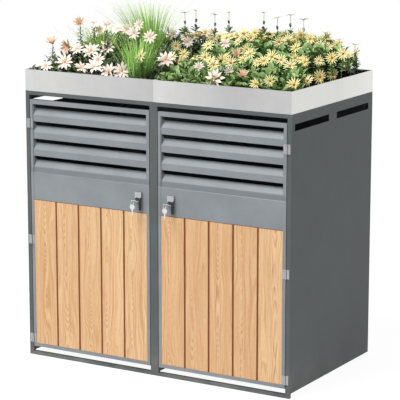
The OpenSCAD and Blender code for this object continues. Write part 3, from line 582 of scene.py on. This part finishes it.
def leaf_look(name, dark, middle, pale):
    """Leaf darker at its foot and in the plant's shade, paler at its edge, with a waxy, blistered skin."""
    leaf = Finish(name)
    along, edge, tone = (leaf.attribute(key) for key in ("along", "edge", "tone"))
    veins = leaf.noise(leaf.place(), 190, 3)
    colour = leaf.mix(srgb(dark), srgb(middle), along.ramp(0.0, 0.5) * 0.4 + tone * 0.6)
    light = edge.ramp(0.55, 1.0) * 0.5 + along.ramp(0.6, 1.0) * 0.25 + veins.ramp(0.5, 0.8) * 0.25
    return leaf.coat(
        base_color=leaf.mix(colour, srgb(pale), light * tone),
        roughness=0.40 + 0.2 * veins,
        normal=leaf.bump(veins, 0.0008, 0.6),
    )


sprigs = {
    "left": whorl(blade((0.15, 0.9, 0.8, 0.05), 0.36, 0.25, 0.25), 8, 1.0, 0, 60),
    "right": whorl(blade((0.20, 0.80, 1.0, 0.30), 0.58, 0.22, 0.15), 8, 0.6, 12, 60),
}
leaf_green = {
    "left": leaf_look("dark_narrow_leaf", "26331A", "50643A", "92AA6C"),
    "right": leaf_look("round_leaf", "33491F", "8AAF60", "DAE9B2"),
}
sprig_count = {"left": 560, "right": 720}
sprig_size = {"left": 0.050, "right": 0.062}
lower_depths, upper_depths, least_stem = (0.024, 0.050), (0.004, 0.022), 0.02
stem_tone = 0.3

# The stems stand in a sequence whose steps fill a square evenly. None stands near the grass, or in the bare
# far corner, behind a slanting line.
even_x, even_y = 0.7548777, 0.5698403
margin = 0.016
bare_x, bare_depth, bare_slope = 0.59, 0.30, 2.2
grass_spots = np.array([[-0.130, front + 0.105], [-0.300, front + 0.450], [-0.500, front + 0.350]])
bare_spots = np.concatenate([grass_spots, [[-0.265, front + 0.345]]])
clearing = 0.062


def from_spots(x, y, spots):
    """Distance of each place from the nearest of the spots."""
    return np.min(np.hypot(x[:, None] - spots[:, 0], y[:, None] - spots[:, 1]), -1)


for side, first in tray_starts.items():
    k = np.arange(sprig_count[side])
    x = first + margin + (tray_w - 2 * margin) * ((0.5 + k * even_x) % 1)
    y = front + margin + (tray_d - 2 * margin) * ((0.5 + k * even_y) % 1)
    keep = from_spots(x, y, bare_spots) > clearing
    keep &= (x < bare_x) | (y - front < bare_depth - bare_slope * (x - bare_x))
    x, y, lower = x[keep], y[keep], k[keep] % 2
    count = len(x)
    depth = np.where(lower, rng.uniform(*lower_depths, count), rng.uniform(*upper_depths, count))
    heads = np.stack([x, y, np.maximum(canopy(x, y) - depth, soil_z + least_stem)], -1)
    lean = np.stack([rng.normal(0, 0.25, count), rng.normal(-0.12, 0.25, count), np.ones(count)], -1)
    size = sprig_size[side] * rng.uniform(0.7, 1.2, count)
    leaves = stamp(sprigs[side], heads, facing(lean, spins(count)), size)
    tone = np.clip(rng.normal(0.65, 0.2, count) - 10 * depth, 0, 1)
    stems = stalks(rooted(heads, 0.006), heads, 0.0012, 1.5, 0.3)
    tones = np.concatenate([np.repeat(tone, len(sprigs[side][0])), np.full(len(stems[0]), stem_tone)])
    greenery = joined(kept_in(leaves, x), kept_in(stems, x))
    plant(side + "_leaves", greenery, leaf_green[side], tones, side + "_foliage")


# Grass: three clumps in the left tray, a bright one at the front, a tall pale one behind it and a short
# yellowish one further left. Each blade is a tapering folded strip that rises and bends outwards in an arc.
def clump(name, node, spot, count, height, spread, foot, lean, colours):
    """A share s of the way along a blade, it is r (0.55 s + 0.45 s ^ 2.5) out and h (1.1 s - 0.1 s ^ 3) up,
    for a height h and a reach r that goes with the blade's tilt. Lean moves it by s ^ 2 more, and its width
    falls as (1 - s) ^ 0.7. The feet fill a round patch of radius foot, and spread is the greatest tilt in
    degrees."""
    rows, half_w = 7, 0.0021
    golden = math.radians(137.508)
    n = np.arange(count)
    t = (n + 0.5) / count
    bearing = n * golden + rng.normal(0, 0.3, count)
    tall = (height * rng.uniform(0.45, 1.0, count) ** 0.8)[:, None]
    reach = tall * np.tan(np.radians(spread * np.sqrt(t) * rng.uniform(0.4, 1.15, count)))[:, None]
    s = np.linspace(0, 1, rows)
    out = (foot * np.sqrt(t) * rng.uniform(0.4, 1.0, count))[:, None] + reach * (0.55 * s + 0.45 * s ** 2.5)
    up = tall * (1.1 * s - 0.1 * s ** 3)
    middle = np.stack([spot[0] + np.cos(bearing)[:, None] * out + lean * s ** 2,
                       spot[1] + np.sin(bearing)[:, None] * out, soil_z + up], -1)
    sideways = np.stack([-np.sin(bearing), np.cos(bearing), 0 * bearing], -1)
    half = (half_w * rng.uniform(0.6, 1.2, count))[:, None] * np.clip(1.03 - s, 0, 1) ** 0.7
    fold = np.array([-1.0, 0.0, 1.0])
    points = middle[:, :, None] + sideways[:, None, None] * (half[:, :, None] * fold)[..., None]
    points[..., 2] += 0.5 * half[:, :, None] * np.abs(fold)
    faces = grid_faces(rows, 3) + (n * rows * 3)[:, None, None]
    way = np.broadcast_to(s[:, None], (count, rows, 3)).ravel()
    marks = np.stack([way, np.repeat(rng.uniform(0, 1, count), rows * 3)], -1)
    points, faces, marks = kept_in((points.reshape(-1, 3), faces.reshape(-1, 4), marks), spot[:1])
    grass = Finish(name + "_green")
    along, tone = grass.attribute("along"), grass.attribute("tone")
    ribs = grass.noise(grass.stretch(grass.place(), (900, 900, 20)), 1, 2)
    colour = grass.mix(srgb(colours[0]), srgb(colours[1]), along.ramp(0.0, 0.5))
    look = grass.coat(
        base_color=grass.mix(colour, srgb(colours[2]), (along.ramp(0.3, 1.0) * 0.6 + 0.4) * tone),
        roughness=0.45 + 0.2 * ribs,
        normal=grass.bump(ribs, 0.0004, 0.4),
    )
    item = piece(name, points, faces, look, "cabinet", along=marks[:, 0], tone=marks[:, 1])
    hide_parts(node)


clump("front_grass", "grass_tuft", grass_spots[0] + (0.003, -0.025), 270, 0.222, 36, 0.062, -0.01,
      ("1D470C", "7AC436", "DDF2A2"))
clump("rear_grass", "rear_grass_tuft", grass_spots[1] - (0.005, 0), 640, 0.332, 36, 0.055, -0.04,
      ("5C9C2E", "ACDF5E", "EDF8CC"))
clump("short_grass", "short_grass_tuft", grass_spots[2], 330, 0.228, 44, 0.050, 0.0,
      ("689C36", "B4E05E", "EAF6B6"))


# Daisies: pale pink and apricot with broad petals, most of them on the left, and soft yellow with narrow
# petals and dark middles on the right. Those in front are placed by the photograph and face the light
# there, on their own leafy stems, and those over the rear half face the back.
def flower(petals, width, widths, cup, eye):
    """Petals of length 1 round the z axis, each raised by about cup degrees, and a domed eye of radius eye,
    whose first mark is below zero."""
    hub = 0.1
    points, faces, marks = blade(widths, width, 0.12, 0.14)
    petal = points + np.array([0, hub, 0]), faces, marks
    i = np.arange(petals)
    turns = turn_z(i * 2 * math.pi / petals) @ turn_x(np.radians(cup + 9 * np.sin(i * 2.4)))
    around = stamp(petal, np.zeros((petals, 3)), turns, 1 + 0.07 * np.sin(i * 3.7))
    rings, corners = 4, 9
    angle = np.linspace(0, 2 * math.pi, corners)
    level = np.linspace(0, math.pi / 2, rings)[:, None]
    dome = np.stack([eye * np.cos(level) * np.cos(angle), eye * np.cos(level) * np.sin(angle),
                     0.03 + 0.6 * eye * np.sin(level) + 0 * angle], -1)
    dome_marks = np.stack([-1 + 0.5 * level / level.max() + 0 * angle, 0 * level + 0 * angle], -1)
    return joined(around, (dome.reshape(-1, 3), grid_faces(rings, corners), dome_marks.reshape(-1, 2)))


def sight(pixels):
    """Directions from the camera through places in the photograph, with their y parts made 1."""
    pixels = np.asarray(pixels, float)
    focal = camera_data.lens / camera_data.sensor_width * photo_size
    right, up = pixels[:, 0] - photo_size / 2, photo_size / 2 - pixels[:, 1]
    local = np.stack([right, up, 0 * right - focal], -1)
    lines = local @ np.array(camera.matrix_world.to_3x3()).T
    return lines / lines[:, 1:2]


def seen_at_depth(pixels, depth):
    """Places on the sight lines of the pixels, at a distance behind the trays' front."""
    return np.array(camera_place) + sight(pixels) * (front + np.reshape(depth, (-1, 1)) - camera_place.y)


def seen_on_canopy(pixels, lift):
    """Places where the sight lines of the pixels come down to a lift above the foliage, or nearest to it."""
    nearest, farthest, end_gap = 0.03, tray_d - 0.04, 0.02
    depth = np.linspace(nearest, farthest, 400)
    path = np.array(camera_place) + sight(pixels)[:, None] * (front + depth - camera_place.y)[None, :, None]
    gap = path[..., 2] - canopy(path[..., 0], path[..., 1]) - lift
    gap[np.abs(path[..., 0]) > tray_w - end_gap] = math.inf
    place = np.where((gap <= 0).any(-1), np.argmax(gap <= 0, -1), np.argmin(gap, -1))
    return path[np.arange(len(place)), place]


def petal_look(name, foot, middle, tip, eye, eye_rim):
    """Petal coloured from foot to tip with fine blotches, and a granular eye where along is below zero."""
    petal = Finish(name)
    along, edge, tone = (petal.attribute(key) for key in ("along", "edge", "tone"))
    veins = petal.noise(petal.place(), 260, 3)
    colour = petal.mix(srgb(foot), srgb(middle), along.ramp(0.0, 0.4))
    colour = petal.mix(colour, srgb(tip), along.ramp(0.35, 1.0) * 0.6 + tone * 0.4)
    colour = petal.mix(colour, srgb(foot), veins.ramp(0.5, 0.8) * 0.3 + (1 - edge) * 0.2)
    centre = petal.mix(srgb(eye_rim), srgb(eye), along.ramp(-1.0, -0.6) * 0.7 + veins.ramp(0.4, 0.6) * 0.3)
    return petal.coat(
        base_color=petal.mix(centre, colour, along.ramp(-0.4, -0.2)),
        roughness=0.55 + 0.2 * veins,
        normal=petal.bump(veins, 0.0005, 0.5),
    )


straight_up = np.array([0.0, 0.0, 1.0])
front_light, rear_light = (-0.2, -0.45, 0.87), (0.0, 0.45, 0.9)


def bed(name, heads, size, shape, look, sunward, side, whorls, light=front_light, node=None):
    """Flowers of one kind. Their heads face between the camera and the light, a sunward share of the way to
    the light, on stems from the compost that carry whorls of small leaves every 19 mm below the head."""
    first_drop, drop = 0.005, 0.019
    count = len(heads)
    view = np.array(camera_place) - heads
    view /= np.linalg.norm(view, axis=-1, keepdims=True)
    aim = view * (1 - sunward) + np.array(light) * sunward + rng.normal(0, 0.20, (count, 3))
    blooms = stamp(shape, heads, facing(aim, spins(count)), size * rng.uniform(0.8, 1.15, count))
    tone = np.repeat(rng.uniform(0, 1, count), len(shape[0]))
    homes = heads[:, 0]
    plant(name, kept_in(blooms, homes), look, tone, node)
    stems = stalks(rooted(heads, 0.01), heads - 0.003 * straight_up, 0.0015, 1.5, 0.5)
    drops = first_drop + drop * np.arange(1, whorls + 1)
    low = (heads[:, None] - drops[:, None] * straight_up).reshape(-1, 3)
    count = len(low)
    turns = facing(straight_up + rng.normal(0, 0.15, (count, 3)), spins(count))
    leaves = stamp(sprigs[side], low, turns, rng.uniform(0.020, 0.032, count))
    greenery = joined(kept_in(leaves, homes), kept_in(stems, homes))
    plant(name + "_stems", greenery, leaf_green[side], 0.55)


large_pixels = [(65, 62), (81, 68), (94, 67), (122, 71), (166, 60), (215, 79), (109, 72), (91, 51),
                (107, 48)]
largest_pixel = (166, 60)
small_pixels = [(46, 66), (66, 46), (77, 49), (188, 42), (199, 67), (229, 71), (225, 44), (173, 34),
                (98, 60)]
smallest = slice(3, 7)
back_pixels = [(118, 29), (127, 29), (139, 25), (94, 23), (107, 25), (150, 37), (101, 30), (134, 33)]
back_depths = np.array([0.27, 0.34, 0.30, 0.36, 0.29, 0.24, 0.38, 0.22])
apricot_pixels = [(53, 44), (69, 47), (237, 55), (213, 34), (263, 34), (243, 77)]
back_apricot_pixel = (80, 24)
yellow_pixels = [(199, 34), (187, 38), (220, 37), (237, 38), (251, 38), (276, 38), (288, 40), (315, 42),
                 (328, 47), (326, 38), (184, 54), (195, 59), (210, 61), (214, 65), (226, 57), (231, 63),
                 (250, 54), (264, 61), (281, 60), (290, 66), (295, 58), (305, 62), (319, 61), (332, 58),
                 (343, 54), (256, 84), (270, 81), (294, 85), (308, 81), (320, 77), (333, 75), (172, 57),
                 (262, 37), (243, 60), (205, 57), (176, 46), (208, 46), (222, 60), (247, 50), (296, 48),
                 (310, 39), (284, 36), (233, 36), (270, 35), (301, 35), (180, 62), (193, 36), (257, 63),
                 (272, 57), (337, 45), (356, 53), (348, 55), (205, 33), (212, 39), (244, 34), (255, 33),
                 (279, 42), (294, 37), (320, 45), (238, 42), (227, 38), (302, 60)]
grass_pixel = (141, 56)
head_lift, large_head_lift = 0.020, 0.018
large_heads = seen_on_canopy(large_pixels, large_head_lift)
small_heads = np.concatenate([seen_on_canopy(small_pixels, head_lift),
                              seen_at_depth(back_pixels, back_depths)])
apricot_heads = np.concatenate([seen_on_canopy(apricot_pixels, head_lift),
                                seen_at_depth([back_apricot_pixel], 0.40)])
yellow_heads = np.concatenate([seen_on_canopy(yellow_pixels, head_lift),
                               seen_at_depth([grass_pixel], 0.035)])
large_sizes = np.full(len(large_heads), 0.038)
large_sizes[large_pixels.index(largest_pixel)] = 0.046
small_sizes = np.full(len(small_heads), 0.031)
small_sizes[smallest] = 0.023
front_rows = 0.16
yellow_sizes = np.where(yellow_heads[:, 1] < front + front_rows, 0.033, 0.027)
broad = flower(11, 0.34, (0.45, 0.9, 0.9, 0.08), 16, 0.13)
swept = flower(12, 0.28, (0.45, 0.9, 0.8, 0.05), 46, 0.13)
narrow = flower(15, 0.19, (0.5, 0.9, 0.9, 0.25), 12, 0.18)
pink_petals = petal_look("pale_pink_petal", "E0B69C", "F8E9DC", "FFF9F0", "B0834F", "C99A66")
apricot_petals = petal_look("apricot_petal", "A8754C", "DCB38A", "F0D6B8", "5E4226", "8F6234")
yellow_petals = petal_look("soft_yellow_petal", "DAB95C", "F3E596", "FBF7CC", "3E240D", "B5701F")
bed("large_daisy_heads", large_heads, large_sizes, broad, pink_petals,
    0.45, "left", 4, node="pink_daisies")
bed("small_daisy_heads", small_heads, small_sizes, broad, pink_petals,
    0.50, "left", 5)
bed("apricot_daisy_heads", apricot_heads, 0.036, swept, apricot_petals,
    0.70, "left", 5)
bed("yellow_daisy_heads", yellow_heads, yellow_sizes, narrow, yellow_petals,
    0.50, "right", 3, node="yellow_daisies")


def rear_places(first, count):
    """Random places on the canopy of the rear half of a tray, away from the grass and the bare corner."""
    end_gap, grass_gap, bare_gap, lift = 0.05, 0.10, 0.04, 0.012
    nearest, farthest, corner_depth = 0.46, 0.735, 0.5
    x = rng.uniform(first + end_gap, first + tray_w - end_gap, count)
    y = front + rng.uniform(nearest, farthest, count)
    keep = from_spots(x, y, grass_spots) > grass_gap
    keep &= (x < bare_x - bare_gap) | (y - front < corner_depth)
    return np.stack([x, y, canopy(x, y) + lift], -1)[keep]


bed("rear_daisy_heads", rear_places(tray_starts["left"], 18), 0.031, broad, pink_petals,
    1.0, "left", 4, rear_light)
bed("rear_yellow_daisy_heads", rear_places(tray_starts["right"], 34), 0.027, narrow, yellow_petals,
    1.0, "right", 3, rear_light)


# Late stems: thin shoots with a tuft of leaves, a closed green knot and a small pale flower on top, that
# stand up along the back. The flower on each opens straight upwards, so that it is seen from its edge.
late_pixels = [(185, 13), (196, 11), (215, 15), (229, 12.5), (264, 13), (277.5, 18), (290.6, 15.5),
               (303.8, 20), (325.6, 33), (339.4, 40), (355, 45)]
late_depths = np.array([0.46, 0.50, 0.54, 0.54, 0.58, 0.60, 0.64, 0.66, 0.66, 0.68, 0.70])
late_heads = seen_at_depth(late_pixels, late_depths)
late_count = len(late_heads)
upright = facing(straight_up + rng.normal(0, 0.10, (late_count, 3)), spins(late_count))
flat_flower = flower(9, 0.34, (0.4, 0.9, 0.8, 0.15), 16, 0.15)
knot = whorl(blade((0.4, 1.0, 0.8, 0.08), 0.6, 0.2, -0.1), 8, 0.3, 62, 80)


def on_stems(shape, drop, size):
    """Copies of a shape of one size, a drop below the head of each late stem."""
    places = late_heads - drop * straight_up
    return kept_in(stamp(shape, places, upright, size), late_heads[:, 0])


late_petals = petal_look("late_petal", "A9B183", "DDE0C0", "F6F5E6", "6E7A45", "8C9658")
plant("late_flower_heads", on_stems(flat_flower, 0, 0.025), late_petals, 0.5)
feet = np.concatenate([late_heads[:, :2], np.full((late_count, 1), soil_z)], -1)
shoots = joined(on_stems(knot, 0.048, 0.020), on_stems(sprigs["right"], 0.078, 0.036),
                stalks(feet, late_heads, 0.0010, 1.0, 0.5))
late_green = leaf_look("late_stem_green", "466038", "7C9A66", "BCD0A0")
plant("late_stems", shoots, late_green, 0.6, "bud_stems")


# Studio: a pale floor that keeps the shadow, white surroundings, a large soft lamp high at the front left
# and a weaker one at the right. Camera rays and reflections see the floor and the world as white.
def background_rays(nodes):
    """1 on rays from the camera or off or through a polished face, and 0 on the rays that light things."""
    kinds = ("Camera", "Glossy", "Transmission")
    rays = [nodes.node("LightPath", output="Is " + kind + " Ray") for kind in kinds]
    return rays[0] + rays[1] + rays[2]


floor_half = 14
floor_cover, floor_glow = 0.85, 1.11
corners = [(-floor_half, -floor_half, 0), (floor_half, -floor_half, 0), (floor_half, floor_half, 0),
           (-floor_half, floor_half, 0)]
floor_mesh = bpy.data.meshes.new("studio_floor")
floor_mesh.from_pydata(corners, [], [(0, 1, 2, 3)])
floor = bpy.data.objects.new("studio_floor", floor_mesh)
bpy.context.collection.objects.link(floor)
pale = Finish("pale_floor")
clouds = pale.noise(pale.place(), 3, 2)
pale.coat(base_color=pale.mix((0.80, 0.80, 0.80), (0.84, 0.84, 0.84), clouds), roughness=0.6 + 0.1 * clouds)
cover = pale.node("MixShader", values={
    "Fac": background_rays(pale) * floor_cover,
    "Shader": Wire(pale.tree, pale.shader.outputs["BSDF"]),
    "Shader_001": pale.node("Emission", values={"Color": (1.0, 1.0, 1.0), "Strength": floor_glow}),
})
connect(pale.tree, pale.tree.nodes["Material Output"].inputs["Surface"], cover)
floor_mesh.materials.append(pale.owner)

ambient = 0.28
surroundings = Finish("studio", "worlds")
bpy.context.scene.world = surroundings.owner
background = surroundings.tree.nodes["Background"]
connect(surroundings.tree, background.inputs["Color"], (1.0, 1.0, 1.0))
brightness = ambient + (1 - ambient) * background_rays(surroundings)
connect(surroundings.tree, background.inputs["Strength"], brightness)


def lamp(name, place, size, watts):
    """Square soft lamp at a place, turned to face the middle of the cabinet."""
    light = bpy.data.lights.new(name, "AREA")
    light.shape = "SQUARE"
    light.size = size
    light.energy = watts
    item = bpy.data.objects.new(name, light)
    item.location = place
    middle = Vector((0, 0, 0.8))
    item.rotation_euler = (middle - Vector(place)).to_track_quat("-Z", "Y").to_euler()
    bpy.context.collection.objects.link(item)


lamp("front_left_lamp", (-1.5, -3.5, 7.3), 3.0, 600)
lamp("right_lamp", (5.0, -1.0, 3.4), 3.0, 14)
